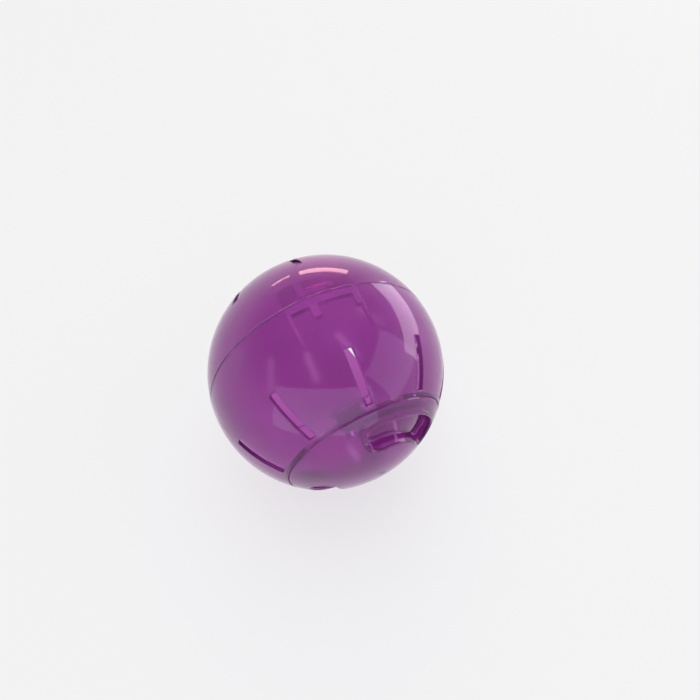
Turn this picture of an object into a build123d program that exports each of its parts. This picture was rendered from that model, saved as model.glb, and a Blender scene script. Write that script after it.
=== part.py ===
from build123d import *

import os
from math import asin, cos, degrees, radians, sin, sqrt

# Hamster ball: two half shells that twist together and a round twist-lock door.
# The door faces -Y, the seam between the halves lies in the XZ plane, and the origin is the ball's centre.
# Helper forms are drawn with the ball's axis on +Z, at azimuth zero, and then placed round the door's axis.

# Whole ball
ball_diameter = 127.0
wall = 2.0
fit_gap = 0.3
seam_gap = 0.2
edge_break = 0.35
overrun = 5.0
pick_tolerance = 0.01

# Door opening
opening_diameter = 82.0
door_gap = 0.4

# Vent slots, the same on both halves
slot_count = 10
slot_width = 3.6
slot_land = 2.9
slot_length = 24.5
slot_corner = 0.6
slot_edge = 0.4
slot_phase = 90.0

# Bayonet of the door: ledges on the shell, hooks on the door
lock_count = 4
lock_phase = 102.0
ledge_depth = 4.0
ledge_root = 1.6
ledge_angle = 19.0
stop_angle = 2.0
hook_angle = 16.4
hook_wall = 2.2
hook_side_gap = 0.8
pip_diameter = 1.8
pip_height = 0.6

# Finger recesses of the door
recess_count = 2
recess_phase = 49.0
recess_angle = 102.0
recess_inset = 7.4
recess_width = 11.4
recess_depth = 5.2
recess_edge = 0.9
recess_floor_edge = 1.4

# Bayonet of the two halves: tongues on the front shell, pegs on the rear shell
tongue_count = 4
tongue_phase = 90.0
tongue_angle = 31.0
tongue_length = 12.4
tongue_corner = 3.0
root_height = 3.6
rib_height = 9.5
rib_angle = 3.4
rib_places = (-13.8, 4.5)
stay_height = 20.5
stay_angle = 1.5
peg_diameter = 3.2
peg_drop = 5.0
peg_gap = 0.4
halves_turn = 12.0

# Sizes worked out from the above
ball_radius = ball_diameter / 2
inner_radius = ball_radius - wall
mid_radius = inner_radius + wall / 2
seam_half = seam_gap / 2
opening_radius = opening_diameter / 2
door_radius = opening_radius - door_gap

ledge_top = inner_radius - fit_gap
ledge_under = ledge_top - wall
ledge_radius = opening_radius - ledge_depth
root_radius = opening_radius + ledge_root
hook_top = ledge_under - fit_gap
hook_under = hook_top - wall
hook_radius = door_radius - fit_gap
hook_wall_outer = ledge_radius - hook_side_gap - fit_gap
hook_wall_inner = hook_wall_outer - hook_wall

recess_radius = door_radius - recess_inset - recess_width / 2
recess_floor = ball_radius - recess_depth
recess_under = recess_floor - wall
recess_sweep = recess_angle - degrees(recess_width / recess_radius)

tongue_outer = inner_radius - fit_gap
tongue_inner = tongue_outer - wall
peg_radius = peg_diameter / 2
peg_tip = tongue_inner + fit_gap

door_side = Plane.XZ


def band(outer, inner, near, far, low, high):
    """Cut through a spherical wall, kept between two distances from the axis and two heights."""
    with BuildSketch() as section:
        Circle(outer)
        Circle(inner, mode=Mode.SUBTRACT)
        with Locations((near, low)):
            Rectangle(far - near, high - low, align=(Align.MIN, Align.MIN), mode=Mode.INTERSECT)
    return section.sketch


def at_height(radius, height):
    """Point of a circle about the ball's centre at a height along the axis."""
    return (sqrt(radius**2 - height**2), height)


def meridian(azimuth):
    """Plane through the placed ball's axis: x is the distance from it, y the height towards the door."""
    across = (cos(radians(azimuth)), 0, sin(radians(azimuth)))
    return Plane(origin=(0, 0, 0), x_dir=across, z_dir=(across[2], 0, -across[0]))


def axis_plane(azimuth):
    """Plane through the ball's axis: x is the distance from the axis, y the height along it."""
    across = (cos(radians(azimuth)), sin(radians(azimuth)), 0)
    return Plane(origin=(0, 0, 0), x_dir=across, z_dir=(across[1], -across[0], 0))


def on_sphere(radius):
    """Test for the edges that lie on a sphere about the ball's centre."""
    return lambda edge: abs((edge @ 0.5).length - radius) < pick_tolerance


def turn(sections, start, angle):
    """In the part that is being built, turn wall sections about the axis through part of a circle."""
    with BuildSketch(axis_plane(start)) as profile:
        add(sections)
    revolve(profile.sketch, axis=Axis.Z, revolution_arc=angle)


def slot_cutter(side):
    """A slot through the wall along a meridian, on the door side (1) or the closed side (-1)."""
    first = asin(opening_radius / ball_radius) + slot_land / ball_radius
    last = first + slot_length / ball_radius
    low = 90 - degrees(last)
    sweep = degrees(last - first)
    with BuildPart() as cutter:
        with BuildSketch(Plane.XZ):
            with BuildLine():
                outside = CenterArc((0, 0), ball_radius + overrun, side * low, side * sweep)
                inside = CenterArc((0, 0), inner_radius - overrun, side * low, side * sweep)
                Line(outside @ 0, inside @ 0)
                Line(outside @ 1, inside @ 1)
            make_face()
        extrude(amount=slot_width / 2, both=True)
        fillet(cutter.edges().filter_by(GeomType.LINE).filter_by(Axis.Y, reverse=True), slot_corner)
    return cutter.part


def recess_prisms(width):
    """Both finger recesses as kidney-shaped prisms along the door's axis."""
    line = Edge.make_circle(recess_radius, start_angle=-recess_sweep / 2, end_angle=recess_sweep / 2)
    with BuildPart() as prisms:
        with BuildSketch():
            with PolarLocations(0, recess_count, recess_phase):
                SlotArc(line, width)
        extrude(amount=ball_radius + overrun)
    return prisms.part


# Ledge that the door rests on, with the stop that ends the door's turn and a centring pip on its edge
ledge_section = band(ledge_top, ledge_under, ledge_radius, root_radius, 0, ball_radius)
ledge_root_section = band(mid_radius, ledge_under, opening_radius, root_radius, 0, ball_radius)
stop_section = band(ledge_top, hook_under, ledge_radius, root_radius, 0, ball_radius)
with BuildPart() as ledge:
    turn([ledge_section, ledge_root_section], -ledge_angle / 2 - stop_angle, ledge_angle + stop_angle)
    turn(stop_section, -ledge_angle / 2 - stop_angle, stop_angle)
    with BuildSketch(Plane.XY.offset(sqrt(ledge_under**2 - (ledge_radius - pip_height) ** 2))):
        with Locations((ledge_radius + pip_diameter / 2 - pip_height, 0)):
            Circle(pip_diameter / 2)
    extrude(amount=wall / 2)

# Hook under the door: a short wall that hangs from the door and a foot that turns under the ledge
hook_wall_section = band(mid_radius, hook_under, hook_wall_inner, hook_wall_outer, 0, ball_radius)
hook_foot_section = band(hook_top, hook_under, hook_wall_inner, hook_radius, 0, ball_radius)
with BuildPart() as hook:
    turn([hook_wall_section, hook_foot_section], -hook_angle / 2, hook_angle)

# Tongue that reaches into the closed half, with the L-shaped slot for its peg, two ribs and two long stays
blade_section = band(tongue_outer, tongue_inner, 0, ball_radius, -tongue_length, root_height)
root_section = band(mid_radius, tongue_inner, 0, ball_radius, seam_half, root_height)
rib_section = band(mid_radius, tongue_inner, 0, ball_radius, seam_half, rib_height)
stay_marks = [at_height(mid_radius, height) for height in (stay_height, stay_height / 2, seam_half)]
with BuildSketch() as stay_section:
    with BuildLine():
        stay_slope = Line(at_height(tongue_inner, seam_half), at_height(inner_radius, stay_height))
        stay_back = ThreePointArc(*stay_marks)
        Line(stay_slope @ 1, stay_back @ 0)
        Line(stay_back @ 1, stay_slope @ 0)
    make_face()
peg_room = peg_radius + peg_gap
peg_travel = tongue_outer * sin(radians(halves_turn / 2))
with BuildPart() as tongue:
    turn([blade_section, root_section], -tongue_angle / 2, tongue_angle)
    fillet(tongue.edges().filter_by(GeomType.LINE).group_by(Axis.Z)[0], tongue_corner)
    with BuildSketch(Plane.YZ):
        with Locations((0, -peg_drop)):
            Rectangle(2 * (peg_travel + peg_room), 2 * peg_room)
        with Locations((peg_travel, -peg_drop)):
            Rectangle(2 * peg_room, tongue_length, align=(Align.CENTER, Align.MAX))
    extrude(amount=ball_radius, mode=Mode.SUBTRACT)
    for place in rib_places:
        turn(rib_section, place - rib_angle / 2, rib_angle)
    for start in (-tongue_angle / 2, tongue_angle / 2 - stay_angle):
        turn(stay_section.sketch, start, stay_angle)

# Peg on the closed half, which turns into the tongue's slot
with BuildPart() as peg:
    with BuildSketch(Plane.YZ.offset(peg_tip)):
        with Locations((0, -peg_drop)):
            Circle(peg_radius)
    extrude(amount=mid_radius - peg_tip)

# Half shell with the door opening
front_wall = band(ball_radius, inner_radius, opening_radius, ball_radius, seam_half, ball_radius)
front_slot = slot_cutter(1)
with BuildPart(door_side) as front_shell:
    with BuildSketch(meridian(0)) as front_section:
        add(front_wall)
        chamfer(front_section.vertices().sort_by(Axis.X)[-1], edge_break)
        chamfer(front_section.vertices().sort_by(Axis.Y)[-1], edge_break)
    revolve(axis=Axis.Y)
    with PolarLocations(0, slot_count, slot_phase):
        add(front_slot, mode=Mode.SUBTRACT)
    fillet(front_shell.edges(Select.LAST).filter_by(on_sphere(ball_radius)), slot_edge)
    with PolarLocations(0, lock_count, lock_phase):
        add(ledge.part)
    with PolarLocations(0, tongue_count, tongue_phase):
        add(tongue.part)

# Closed half shell
rear_wall = band(ball_radius, inner_radius, 0, ball_radius, -ball_radius, -seam_half)
rear_slot = slot_cutter(-1)
with BuildPart(door_side) as rear_shell:
    with BuildSketch(meridian(0)) as rear_section:
        add(rear_wall)
        chamfer(rear_section.vertices().sort_by(Axis.X)[-1], edge_break)
    revolve(axis=Axis.Y)
    with PolarLocations(0, slot_count, slot_phase):
        add(rear_slot, mode=Mode.SUBTRACT)
    fillet(rear_shell.edges(Select.LAST).filter_by(on_sphere(ball_radius)), slot_edge)
    with PolarLocations(0, tongue_count, tongue_phase - halves_turn / 2):
        add(peg.part)

# Walls and floors of the finger recesses, below the door's skin
recess_walls = recess_prisms(recess_width + 2 * wall)
recess_hollows = recess_prisms(recess_width)
with BuildPart() as recess_cups:
    add(recess_walls)
    Sphere(recess_under, mode=Mode.SUBTRACT)
    Sphere(mid_radius, mode=Mode.INTERSECT)
with BuildPart() as recess_cuts:
    add(recess_hollows)
    Sphere(recess_floor, mode=Mode.SUBTRACT)

# Twist-lock door
door_wall = band(ball_radius, inner_radius, 0, door_radius, 0, ball_radius)
with BuildPart(door_side) as door:
    with BuildSketch(meridian(recess_phase + 90)) as door_section:
        add(door_wall)
        chamfer(door_section.vertices().group_by(Axis.X)[-1].sort_by(Axis.Y)[-1], edge_break)
    revolve(axis=Axis.Y)
    add(recess_cups.part)
    add(recess_cuts.part, mode=Mode.SUBTRACT)
    fillet(door.edges(Select.LAST).filter_by(on_sphere(ball_radius)), recess_edge)
    fillet(door.edges().filter_by(on_sphere(recess_floor)), recess_floor_edge)
    with PolarLocations(0, lock_count, lock_phase):
        add(hook.part)

os.makedirs("parts", exist_ok=True)
front_shell.part.label = "front_shell"
export_step(front_shell.part, "parts/front_shell.step")
rear_shell.part.label = "rear_shell"
export_step(rear_shell.part, "parts/rear_shell.step")
door.part.label = "door"
export_step(door.part, "parts/door.step")
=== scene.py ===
"""Hamster ball: the finish of its three moulded pieces, and a plain studio stage around it."""

from collections import namedtuple
from math import asin, cos, pi, radians, sin, sqrt, tan

import bpy
from bpy.props import FloatProperty, FloatVectorProperty, PointerProperty
from bpy.types import NodeSocket, Operator, Panel, PropertyGroup
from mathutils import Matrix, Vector


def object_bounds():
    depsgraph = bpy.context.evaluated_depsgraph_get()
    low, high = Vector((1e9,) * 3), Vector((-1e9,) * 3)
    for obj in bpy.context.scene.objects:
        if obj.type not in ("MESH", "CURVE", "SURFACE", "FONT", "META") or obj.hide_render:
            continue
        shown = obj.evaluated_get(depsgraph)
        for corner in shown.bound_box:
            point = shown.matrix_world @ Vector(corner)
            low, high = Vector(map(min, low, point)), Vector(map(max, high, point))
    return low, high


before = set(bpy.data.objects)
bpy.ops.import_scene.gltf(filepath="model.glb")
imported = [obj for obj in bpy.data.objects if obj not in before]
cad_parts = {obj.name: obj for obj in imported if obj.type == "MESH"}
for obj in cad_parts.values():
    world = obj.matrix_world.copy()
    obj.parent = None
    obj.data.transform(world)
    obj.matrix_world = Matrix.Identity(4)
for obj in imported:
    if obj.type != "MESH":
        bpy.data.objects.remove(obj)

bl_info = {
    "name": "Hamster Ball",
    "version": (1, 0, 0),
    "blender": (4, 5, 0),
    "location": "3D View > Sidebar > Hamster Ball",
    "description": "Finishes the moulded pieces of a hamster ball and sets a plain studio around them",
    "category": "Object",
}

# The ball, from the frame
CAD_LOW, CAD_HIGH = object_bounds()
BALL_CENTRE = (CAD_LOW + CAD_HIGH) / 2
BALL_RADIUS = (CAD_HIGH.y - CAD_LOW.y) / 2

# How near to the wall's inner face a point still counts as part of that face, in metres
SATIN_BAND = 0.0002

# Values of the noise at which the flow marks are darkest and lightest
FLOW_DARKEST = 0.3
FLOW_LIGHTEST = 0.7

# Enough bounces for light that passes through several walls of the clear ball
LIGHT_BOUNCES = 32

# Side of the square picture, in pixels
PICTURE_SIDE = 700

# Where the camera's sight begins, in ball radii, and where it ends, in floor radii
SIGHT_START = 0.01
SIGHT_END = 4

# Corners of the round floor
FLOOR_CORNERS = 96

# Soft boxes: angles in degrees, sizes and distance in metres
BOX_DISTANCE = 4
COOL = (0.78, 0.86, 1)
PALE = (1, 0.95, 1)
WARM = (1, 0.62, 0.52)
SoftBox = namedtuple("SoftBox", "name azimuth elevation width height brightness colour")
SOFT_BOXES = (
    SoftBox("front_box", azimuth=-25, elevation=21, width=7.5, height=3.25, brightness=1.2, colour=COOL),
    SoftBox("fill_box", azimuth=55, elevation=25, width=3.2, height=2.9, brightness=0.9, colour=COOL),
    SoftBox("side_box", azimuth=100, elevation=7, width=4.4, height=1.7, brightness=2.6, colour=PALE),
    SoftBox("back_strip", azimuth=158, elevation=15, width=1.9, height=0.5, brightness=6, colour=WARM),
    SoftBox("back_thread", azimuth=183, elevation=13, width=0.8, height=0.15, brightness=6, colour=WARM),
)


class BallPlastic(PropertyGroup):
    """Colours and finish of the clear tinted plastic."""

    shell_tint: FloatVectorProperty(
        name="Shell Tint",
        description="Colour of the surface of the two half shells",
        subtype="COLOR", min=0, max=1, default=(0.53, 0.155, 0.52),
    )
    # Paler than the shells: partly to undo the tint that each face of a rib adds again, partly a painted
    # sheen for light catching the tongues and ribs
    rib_tint_and_sheen: FloatVectorProperty(
        name="Rib Tint And Sheen",
        description="Colour of the tongues, ribs, pegs and ledges inside the half shells",
        subtype="COLOR", min=0, max=1, default=(0.93, 0.80, 0.93),
    )
    door_tint: FloatVectorProperty(
        name="Door Tint",
        description="Colour of the surface of the door",
        subtype="COLOR", min=0, max=1, default=(0.54, 0.16, 0.53),
    )
    # Painted shade: a darker tint below the door's skin, so the floors of the finger recesses look shaded;
    # it also darkens the hooks
    recess_shade_tint: FloatVectorProperty(
        name="Recess Shade Tint",
        description="Colour of the door below its skin, in the finger recesses and on the hooks",
        subtype="COLOR", min=0, max=1, default=(0.36, 0.08, 0.35),
    )
    flow_contrast: FloatProperty(
        name="Flow Contrast",
        description="How far the flow marks of the moulding shift the tint either way",
        subtype="FACTOR", min=0, max=0.3, default=0.05,
    )
    flow_scale: FloatProperty(
        name="Flow Scale",
        description="How fine the flow marks are, per metre",
        min=1, default=22,
    )
    depth_colour: FloatVectorProperty(
        name="Depth Colour",
        description="Colour that the plastic turns light to as it passes through",
        subtype="COLOR", min=0, max=1, default=(0.58, 0.12, 0.60),
    )
    depth_density: FloatProperty(
        name="Depth Density",
        description="How quickly the plastic darkens with thickness, per metre",
        min=0, default=60,
    )
    clearness: FloatProperty(
        name="Clearness",
        description="Share of the light that passes through, and the rest is a faint haze",
        subtype="FACTOR", min=0, max=1, default=0.92,
    )
    refraction: FloatProperty(
        name="Refraction",
        description="Index of refraction of the plastic",
        min=1, max=2, default=1.46,
    )
    wall: FloatProperty(
        name="Wall",
        description="Thickness of the moulded wall",
        unit="LENGTH", min=0, default=0.002,
    )
    polish: FloatProperty(
        name="Polish",
        description="Mean roughness of the polished surfaces",
        subtype="FACTOR", min=0, max=1, default=0.04,
    )
    satin: FloatProperty(
        name="Satin",
        description="Mean roughness of the inner face of the wall, which blurs what lies far behind it",
        subtype="FACTOR", min=0, max=1, default=0.22,
    )
    polish_contrast: FloatProperty(
        name="Polish Contrast",
        description="How far the polish differs either way along the flow marks",
        subtype="FACTOR", min=0, max=1, default=0.2,
    )


class BallStage(PropertyGroup):
    """Camera, floor and room light."""

    azimuth: FloatProperty(
        name="Camera Azimuth",
        description="Where the camera stands around the ball, from the door's side",
        subtype="ANGLE", default=radians(-18.9),
    )
    elevation: FloatProperty(
        name="Camera Elevation",
        description="How high the camera stands",
        subtype="ANGLE", default=radians(58.9),
    )
    distance: FloatProperty(
        name="Camera Distance",
        description="Distance of the camera from the ball's centre, in ball radii",
        min=1.5, default=3.2,
    )
    picture_radius: FloatProperty(
        name="Picture Radius",
        description="Radius of the ball in the picture",
        subtype="PIXEL", default=117.6,
    )
    picture_x: FloatProperty(
        name="Picture X",
        description="Place of the ball's centre in the picture, from the left",
        subtype="PIXEL", default=326,
    )
    picture_y: FloatProperty(
        name="Picture Y",
        description="Place of the ball's centre in the picture, from the top",
        subtype="PIXEL", default=368,
    )
    floor_colour: FloatVectorProperty(
        name="Floor Colour",
        description="Colour of the plain floor",
        subtype="COLOR", min=0, max=1, default=(0.88, 0.88, 0.88),
    )
    floor_radius: FloatProperty(
        name="Floor Radius",
        description="Radius of the plain floor",
        unit="LENGTH", default=2,
    )
    floor_roughness: FloatProperty(
        name="Floor Roughness",
        description="Roughness of the matt floor paint",
        subtype="FACTOR", min=0, max=1, default=0.9,
    )
    floor_evenness: FloatProperty(
        name="Floor Evenness",
        description="Share of the floor's look that is an even pale tone, and the rest keeps the shadow",
        subtype="FACTOR", min=0, max=1, default=0.7,
    )
    backdrop_strength: FloatProperty(
        name="Backdrop Strength",
        description="Brightness of the backdrop where it meets the floor",
        min=0, default=0.9,
    )
    room_strength: FloatProperty(
        name="Room Strength",
        description="Brightness of the room above the backdrop",
        min=0, default=0.3,
    )
    backdrop_top: FloatProperty(
        name="Backdrop Top",
        description="Elevation at which the backdrop has faded into the room",
        subtype="ANGLE", default=radians(45),
    )
    sun_strength: FloatProperty(
        name="Sun Strength",
        description="Strength of the broad lamp above",
        min=0, default=1.6,
    )
    sun_spread: FloatProperty(
        name="Sun Spread",
        description="How broad the lamp above is",
        subtype="ANGLE", default=radians(70),
    )
    sun_azimuth: FloatProperty(
        name="Sun Azimuth",
        description="Where the lamp above stands around the ball, from the door's side",
        subtype="ANGLE", default=radians(160),
    )
    sun_elevation: FloatProperty(
        name="Sun Elevation",
        description="How high the lamp above stands",
        subtype="ANGLE", default=radians(65),
    )


def direction(azimuth, elevation):
    """Unit vector away from the ball: azimuth 0 is the door's side, and a quarter turn is +X."""
    return Vector((
        sin(azimuth) * cos(elevation),
        -cos(azimuth) * cos(elevation),
        sin(elevation),
    ))


def times(colour, share):
    """A colour made darker or lighter, with full alpha."""
    return (*(channel * share for channel in colour), 1)


def arithmetic(tree, operation, *terms):
    """Adds a math node whose terms are numbers or outputs of other nodes, and returns its output."""
    node = tree.nodes.new("ShaderNodeMath")
    node.operation = operation
    for term, entry in zip(terms, node.inputs):
        if isinstance(term, NodeSocket):
            tree.links.new(term, entry)
        else:
            entry.default_value = term
    return node.outputs["Value"]


def rescale(tree, value, before, after, easing="LINEAR"):
    """Adds a node that carries a value from one range to another, and returns its output."""
    node = tree.nodes.new("ShaderNodeMapRange")
    node.interpolation_type = easing
    node.inputs["From Min"].default_value, node.inputs["From Max"].default_value = before
    node.inputs["To Min"].default_value, node.inputs["To Max"].default_value = after
    tree.links.new(value, node.inputs["Value"])
    return node.outputs["Result"]


def blend(tree, share, first, second):
    """Adds a node that mixes two shaders, and returns its output."""
    node = tree.nodes.new("ShaderNodeMixShader")
    for source, entry in zip((share, first, second), node.inputs):
        tree.links.new(source, entry)
    return node.outputs["Shader"]


def with_identifier(sockets, identifier):
    """Finds a socket where several sockets of a node have the same name."""
    return next(socket for socket in sockets if socket.identifier == identifier)


def flow_marks(tree, place, settings, seed):
    """Soft clouds, for the faint marks that plastic leaves as it flows into a mould."""
    clouds = tree.nodes.new("ShaderNodeTexNoise")
    clouds.noise_dimensions = "4D"
    clouds.inputs["W"].default_value = seed
    clouds.inputs["Scale"].default_value = settings.flow_scale
    tree.links.new(place, clouds.inputs["Vector"])
    return clouds.outputs["Fac"]


def tint(tree, radius, flow, skin_tint, core_tint, settings):
    """Colour that goes from one tint in the ball's wall to another below it, with flow marks in both."""
    inner_face = BALL_RADIUS - settings.wall
    wall_share = rescale(tree, radius, (inner_face - settings.wall, inner_face), (0, 1))
    colour = tree.nodes.new("ShaderNodeMix")
    colour.data_type = "RGBA"
    tree.links.new(wall_share, colour.inputs["Factor"])
    for base, entry in ((core_tint, "A_Color"), (skin_tint, "B_Color")):
        marks = tree.nodes.new("ShaderNodeValToRGB")
        darkest, lightest = marks.color_ramp.elements
        darkest.position = FLOW_DARKEST
        darkest.color = times(base, 1 - settings.flow_contrast)
        lightest.position = FLOW_LIGHTEST
        lightest.color = times(base, 1 + settings.flow_contrast)
        tree.links.new(flow, marks.inputs["Fac"])
        tree.links.new(marks.outputs["Color"], with_identifier(colour.inputs, entry))
    return with_identifier(colour.outputs, "Result_Color")


def roughness(tree, radius, flow, settings):
    """Roughness of polished plastic, satin on the wall's inner face, and uneven along the flow marks."""
    on_inner_face = arithmetic(tree, "COMPARE", radius, BALL_RADIUS - settings.wall, SATIN_BAND)
    finish = rescale(tree, on_inner_face, (0, 1), (settings.polish, settings.satin))
    uneven = rescale(tree, flow, (0, 1), (1 - settings.polish_contrast, 1 + settings.polish_contrast))
    return arithmetic(tree, "MULTIPLY", finish, uneven)


def plastic(name, skin_tint, core_tint, settings, seed):
    """Clear plastic with one tint in the ball's wall and another below it, and darker where it is thick."""
    material = bpy.data.materials.new(name)
    material.use_nodes = True
    tree = material.node_tree
    output = tree.nodes["Material Output"]
    surface = tree.nodes["Principled BSDF"]
    surface.inputs["IOR"].default_value = settings.refraction
    surface.inputs["Transmission Weight"].default_value = settings.clearness

    place = tree.nodes.new("ShaderNodeTexCoord").outputs["Object"]
    flow = flow_marks(tree, place, settings, seed)
    length = tree.nodes.new("ShaderNodeVectorMath")
    length.operation = "LENGTH"
    tree.links.new(place, length.inputs["Vector"])
    radius = length.outputs["Value"]
    colour = tint(tree, radius, flow, skin_tint, core_tint, settings)
    tree.links.new(colour, surface.inputs["Base Color"])
    tree.links.new(roughness(tree, radius, flow, settings), surface.inputs["Roughness"])

    # Lamps shine through: each of a wall's two faces passes the square root of the tint
    shadow = tree.nodes.new("ShaderNodeBsdfTransparent")
    shadow.inputs["Color"].default_value = (*(sqrt(channel) for channel in skin_tint), 1)
    rays = tree.nodes.new("ShaderNodeLightPath")
    look = blend(tree, rays.outputs["Is Shadow Ray"], surface.outputs["BSDF"], shadow.outputs["BSDF"])
    tree.links.new(look, output.inputs["Surface"])

    depth = tree.nodes.new("ShaderNodeVolumeAbsorption")
    depth.inputs["Color"].default_value = (*settings.depth_colour, 1)
    depth.inputs["Density"].default_value = settings.depth_density
    tree.links.new(depth.outputs["Volume"], output.inputs["Volume"])
    return material


def dress(node, skin_tint, core_tint, settings, seed):
    """Gives a moulded piece its plastic."""
    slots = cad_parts[node].data.materials
    slots.clear()
    slots.append(plastic(f"{node}_plastic", skin_tint, core_tint, settings, seed))


class BALL_OT_front_shell(Operator):
    """Finish the half shell that holds the door"""

    bl_idname = "ball.front_shell"
    bl_label = "Front Shell"

    def execute(self, context):
        settings = context.scene.ball_plastic
        # Below the skin, the paler rib tint, which is partly a painted sheen
        dress("front_shell", settings.shell_tint, settings.rib_tint_and_sheen, settings, seed=1)
        return {"FINISHED"}


class BALL_OT_rear_shell(Operator):
    """Finish the closed half shell"""

    bl_idname = "ball.rear_shell"
    bl_label = "Rear Shell"

    def execute(self, context):
        settings = context.scene.ball_plastic
        # Below the skin, the paler rib tint, which is partly a painted sheen
        dress("rear_shell", settings.shell_tint, settings.rib_tint_and_sheen, settings, seed=2)
        return {"FINISHED"}


class BALL_OT_door(Operator):
    """Finish the twist-lock door"""

    bl_idname = "ball.door"
    bl_label = "Door"

    def execute(self, context):
        settings = context.scene.ball_plastic
        # The door's own tint in its skin, and below it the darker tint of painted shade in the finger
        # recesses
        dress("door", settings.door_tint, settings.recess_shade_tint, settings, seed=3)
        return {"FINISHED"}


def floor_paint(settings):
    """Matt paint, part of which shows as an even tone to the camera and in or through the plastic."""
    material = bpy.data.materials.new("floor_paint")
    material.use_nodes = True
    tree = material.node_tree
    paint = tree.nodes["Principled BSDF"]
    paint.inputs["Base Color"].default_value = (*settings.floor_colour, 1)
    paint.inputs["Roughness"].default_value = settings.floor_roughness
    even = tree.nodes.new("ShaderNodeEmission")
    even.inputs["Color"].default_value = (*settings.floor_colour, 1)

    rays = tree.nodes.new("ShaderNodeLightPath").outputs
    seen = arithmetic(tree, "MAXIMUM", rays["Is Camera Ray"], rays["Is Glossy Ray"])
    seen = arithmetic(tree, "MAXIMUM", seen, rays["Is Transmission Ray"])
    share = arithmetic(tree, "MULTIPLY", seen, settings.floor_evenness)
    look = blend(tree, share, paint.outputs["BSDF"], even.outputs["Emission"])
    tree.links.new(look, tree.nodes["Material Output"].inputs["Surface"])
    return material


def add_floor(settings):
    """Lays a wide round floor under the ball."""
    bpy.ops.mesh.primitive_circle_add(
        vertices=FLOOR_CORNERS, radius=settings.floor_radius, fill_type="NGON",
        location=(BALL_CENTRE.x, BALL_CENTRE.y, CAD_LOW.z),
    )
    floor = bpy.context.object
    floor.name = "floor"
    floor.data.materials.append(floor_paint(settings))


def add_lamp(scene, data, back, distance):
    """Puts a lamp at a distance in one direction from the ball, facing the ball."""
    lamp = bpy.data.objects.new(data.name, data)
    scene.collection.objects.link(lamp)
    lamp.location = BALL_CENTRE + back * distance
    lamp.rotation_mode = "QUATERNION"
    lamp.rotation_quaternion = (-back).to_track_quat("-Z", "Y")
    return lamp


def add_sun(scene, settings):
    """Puts a broad soft lamp above the ball, which makes no highlight."""
    data = bpy.data.lights.new("room_lamp", "SUN")
    data.energy = settings.sun_strength
    data.angle = settings.sun_spread
    back = direction(settings.sun_azimuth, settings.sun_elevation)
    lamp = add_lamp(scene, data, back, settings.floor_radius)
    lamp.visible_glossy = False


def add_soft_box(scene, box):
    """Puts up a soft rectangular lamp, out of the camera's sight."""
    data = bpy.data.lights.new(box.name, "AREA")
    data.shape = "RECTANGLE"
    data.size = box.width
    data.size_y = box.height
    data.energy = box.brightness * pi * box.width * box.height
    data.color = box.colour
    back = direction(radians(box.azimuth), radians(box.elevation))
    lamp = add_lamp(scene, data, back, BOX_DISTANCE)
    lamp.visible_camera = False


def add_room(scene, settings):
    """Surrounds the stage with a pale backdrop that fades into a dimmer room above it."""
    world = bpy.data.worlds.new("room")
    world.use_nodes = True
    tree = world.node_tree
    light = tree.nodes["Background"]
    light.inputs["Color"].default_value = (1, 1, 1, 1)
    place = tree.nodes.new("ShaderNodeTexCoord")
    height = tree.nodes.new("ShaderNodeSeparateXYZ")
    tree.links.new(place.outputs["Generated"], height.inputs["Vector"])
    climb = (0, sin(settings.backdrop_top))
    strengths = (settings.backdrop_strength, settings.room_strength)
    fade = rescale(tree, height.outputs["Z"], climb, strengths, easing="SMOOTHSTEP")
    tree.links.new(fade, light.inputs["Strength"])
    scene.world = world


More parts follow.
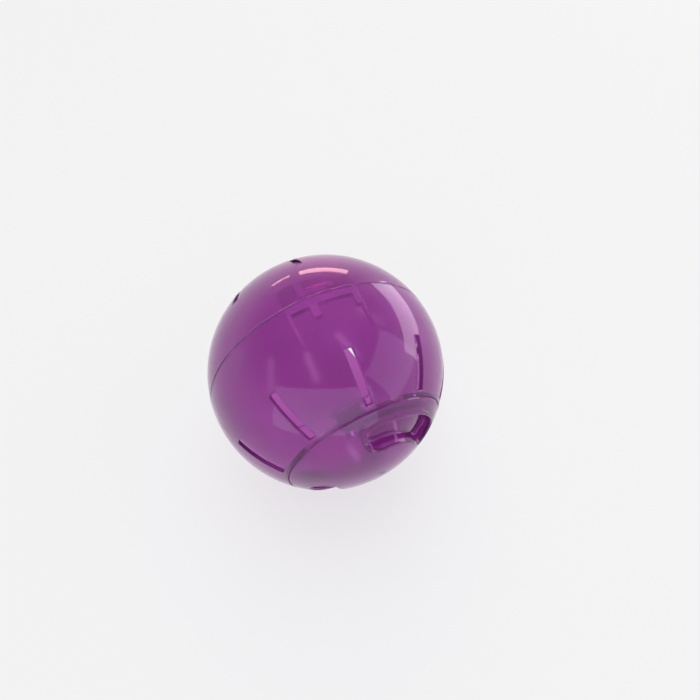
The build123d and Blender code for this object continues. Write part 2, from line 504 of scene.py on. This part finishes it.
def add_camera(scene, settings):
    """Puts a camera at the photograph's viewing angle, with the ball at its place in the picture."""
    focal_pixels = settings.picture_radius / tan(asin(1 / settings.distance))
    data = bpy.data.cameras.new("camera")
    data.lens = focal_pixels * data.sensor_width / PICTURE_SIDE
    data.clip_start = BALL_RADIUS * SIGHT_START
    data.clip_end = settings.floor_radius * SIGHT_END
    camera = bpy.data.objects.new("camera", data)
    scene.collection.objects.link(camera)

    back = direction(settings.azimuth, settings.elevation)
    right = Vector((cos(settings.azimuth), sin(settings.azimuth), 0))
    up = back.cross(right)
    distance = settings.distance * BALL_RADIUS
    across = (PICTURE_SIDE / 2 - settings.picture_x) * distance / focal_pixels
    above = (settings.picture_y - PICTURE_SIDE / 2) * distance / focal_pixels
    aim = BALL_CENTRE + right * across + up * above
    camera.location = BALL_CENTRE + back * distance
    camera.rotation_mode = "QUATERNION"
    camera.rotation_quaternion = (aim - camera.location).to_track_quat("-Z", "Y")
    scene.camera = camera


class BALL_OT_stage(Operator):
    """Set the floor, the room, the lamps and the camera"""

    bl_idname = "ball.stage"
    bl_label = "Stage"

    def execute(self, context):
        scene = context.scene
        settings = scene.ball_stage
        add_floor(settings)
        add_sun(scene, settings)
        add_room(scene, settings)
        for box in SOFT_BOXES:
            add_soft_box(scene, box)
        add_camera(scene, settings)
        scene.view_settings.view_transform = "Standard"
        scene.cycles.max_bounces = LIGHT_BOUNCES
        scene.cycles.transmission_bounces = LIGHT_BOUNCES
        return {"FINISHED"}


class BALL_PT_sidebar(Panel):
    """Lists the pieces of the ball and the stage"""

    bl_label = "Hamster Ball"
    bl_idname = "BALL_PT_sidebar"
    bl_space_type = "VIEW_3D"
    bl_region_type = "UI"
    bl_category = "Hamster Ball"

    def draw(self, context):
        for operator in OPERATORS:
            self.layout.operator(operator.bl_idname)
        for group in (context.scene.ball_plastic, context.scene.ball_stage):
            box = self.layout.box()
            for prop in group.__annotations__:
                box.prop(group, prop)


OPERATORS = (BALL_OT_front_shell, BALL_OT_rear_shell, BALL_OT_door, BALL_OT_stage)
CLASSES = (BallPlastic, BallStage, *OPERATORS, BALL_PT_sidebar)


def register():
    for cls in CLASSES:
        bpy.utils.register_class(cls)
    bpy.types.Scene.ball_plastic = PointerProperty(type=BallPlastic)
    bpy.types.Scene.ball_stage = PointerProperty(type=BallStage)


def unregister():
    del bpy.types.Scene.ball_stage
    del bpy.types.Scene.ball_plastic
    for cls in reversed(CLASSES):
        bpy.utils.unregister_class(cls)


def main():
    register()
    bpy.ops.ball.front_shell()
    bpy.ops.ball.rear_shell()
    bpy.ops.ball.door()
    bpy.ops.ball.stage()


if __name__ == "__main__":
    main()
